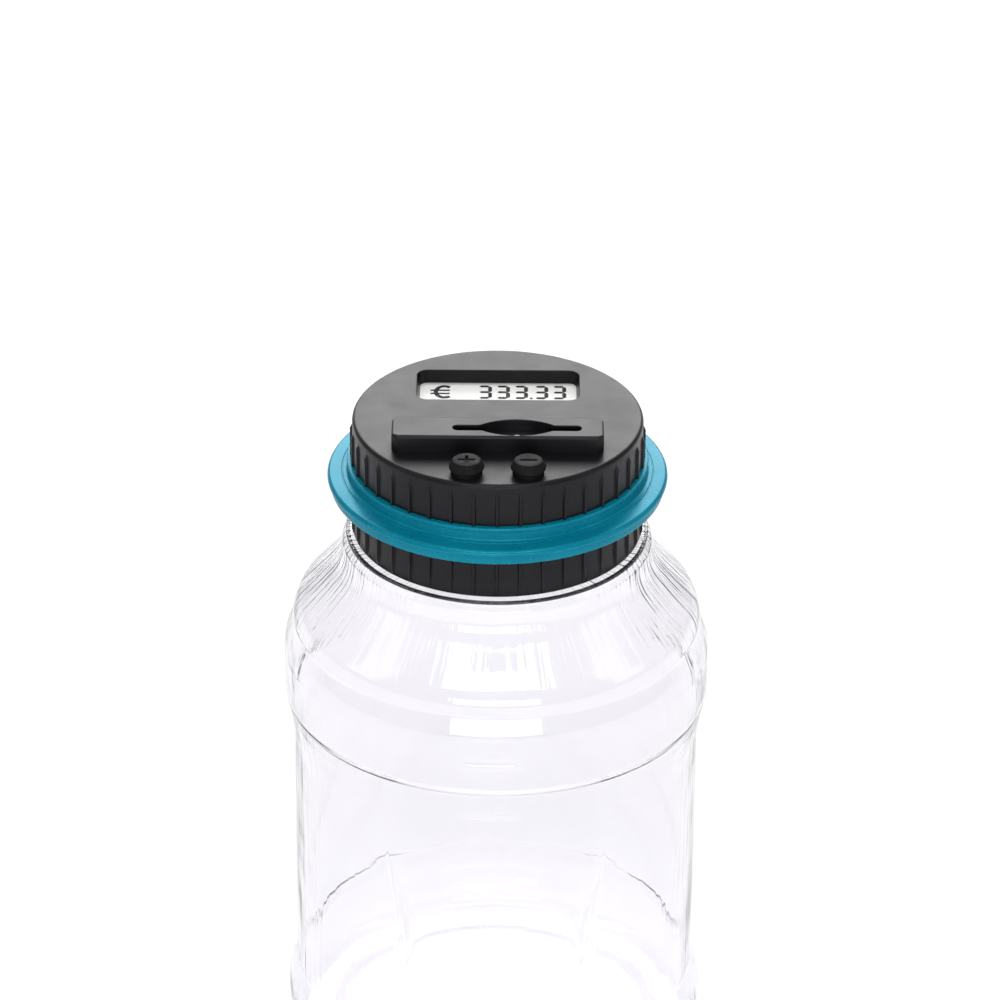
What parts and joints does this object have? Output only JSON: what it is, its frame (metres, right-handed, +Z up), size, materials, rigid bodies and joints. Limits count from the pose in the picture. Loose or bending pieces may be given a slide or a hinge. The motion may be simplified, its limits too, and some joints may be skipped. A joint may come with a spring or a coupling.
{
  "type": "digital coin counting jar",
  "caption": "Clear jar with a screw lid that counts coins: slot with a measuring lever, display, two buttons and a battery bay.",
  "frame": {"origin": "centre of the jar's foot, on the surface it stands on", "axes": "+Z up along the jar's axis, -Y towards the two buttons at the front, +X to the right seen from the front"},
  "size_m": [0.12, 0.1203, 0.205],
  "materials": {
    "clear_pet": "clear blow-moulded PET",
    "black_abs": "satin injection-moulded ABS",
    "teal_lacquer": "metallic teal lacquer over ABS",
    "clear_acrylic": "clear polished",
    "lcd_glass": "reflective grey liquid-crystal panel",
    "white_plastic": "moulded",
    "grey_rubber": "conductive elastomer",
    "board_green": "solder mask",
    "component_black": "moulded",
    "gold_plate": "plated",
    "black_acetal": "moulded acetal",
    "bright_steel": "zinc-plated",
    "spring_steel": "nickel-plated wire",
    "nickel_plate": "nickel-plated sheet",
    "cell_jacket": "plain printed jacket",
    "wire_red": "insulated",
    "black_rubber": "matte silicone"
  },
  "bodies": {
    "jar": {"jar_body": "clear_pet"},
    "lid_ring": {"trim_ring": "teal_lacquer"},
    "lid": {"top_cover": "black_abs", "screw_collar": "black_abs", "base_plate": "black_abs", "coin_chute": "black_abs", "display_lens": "clear_acrylic", "lcd_panel": "lcd_glass", "lcd_frame": "white_plastic", "zebra_strips": "grey_rubber", "circuit_board": "board_green", "board_components": "component_black", "key_board": "board_green", "sensor_board": "board_green", "contact_pads": "gold_plate", "lever_pivot_pin": "bright_steel", "lever_spring": "spring_steel", "battery_1": "cell_jacket", "battery_2": "cell_jacket", "battery_contacts": "nickel_plate", "battery_springs": "spring_steel", "assembly_screws": "bright_steel", "board_screws": "bright_steel", "lead_wires": "wire_red"},
    "plus": {"plus_button": "black_rubber"},
    "minus": {"minus_button": "black_rubber"},
    "lever": {"coin_lever": "black_acetal", "lever_wiper": "gold_plate"},
    "door": {"battery_door": "black_abs", "battery_door_screw": "bright_steel"}
  },
  "joints": [
    {"name": "lid_lift", "type": "slide", "parent": "jar", "child": "lid_ring", "axis": [0, 0, 1], "range_m": [0, 0.01271]},
    {"name": "lid_turn", "type": "hinge", "parent": "lid_ring", "child": "lid", "pos_m": [0, 0, 0.18], "axis": [0, 0, 1], "range_deg": [0, 1080]},
    {"name": "plus_press", "type": "slide", "parent": "lid", "child": "plus", "axis": [0, 0, -1], "range_m": [0, 0.001], "stiffness_N_per_m": 400},
    {"name": "minus_press", "type": "slide", "parent": "lid", "child": "minus", "axis": [0, 0, -1], "range_m": [0, 0.001], "stiffness_N_per_m": 400},
    {"name": "lever_swing", "type": "hinge", "parent": "lid", "child": "lever", "pos_m": [0.0053, -0.02185, 0.1835], "axis": [0, 1, 0], "range_deg": [0, 38], "stiffness_Nm_per_rad": 0.0012, "springref_deg": -17.19, "deforming": ["lever_spring"]},
    {"name": "battery_door_off", "type": "slide", "parent": "lid", "child": "door", "axis": [0, 0, -1], "range_m": [0, 0.02]}
  ],
  "couplings": [
    {"joint": "lid_lift", "follows": "lid_turn", "m_per_rad": 0.0006737}
  ]
}
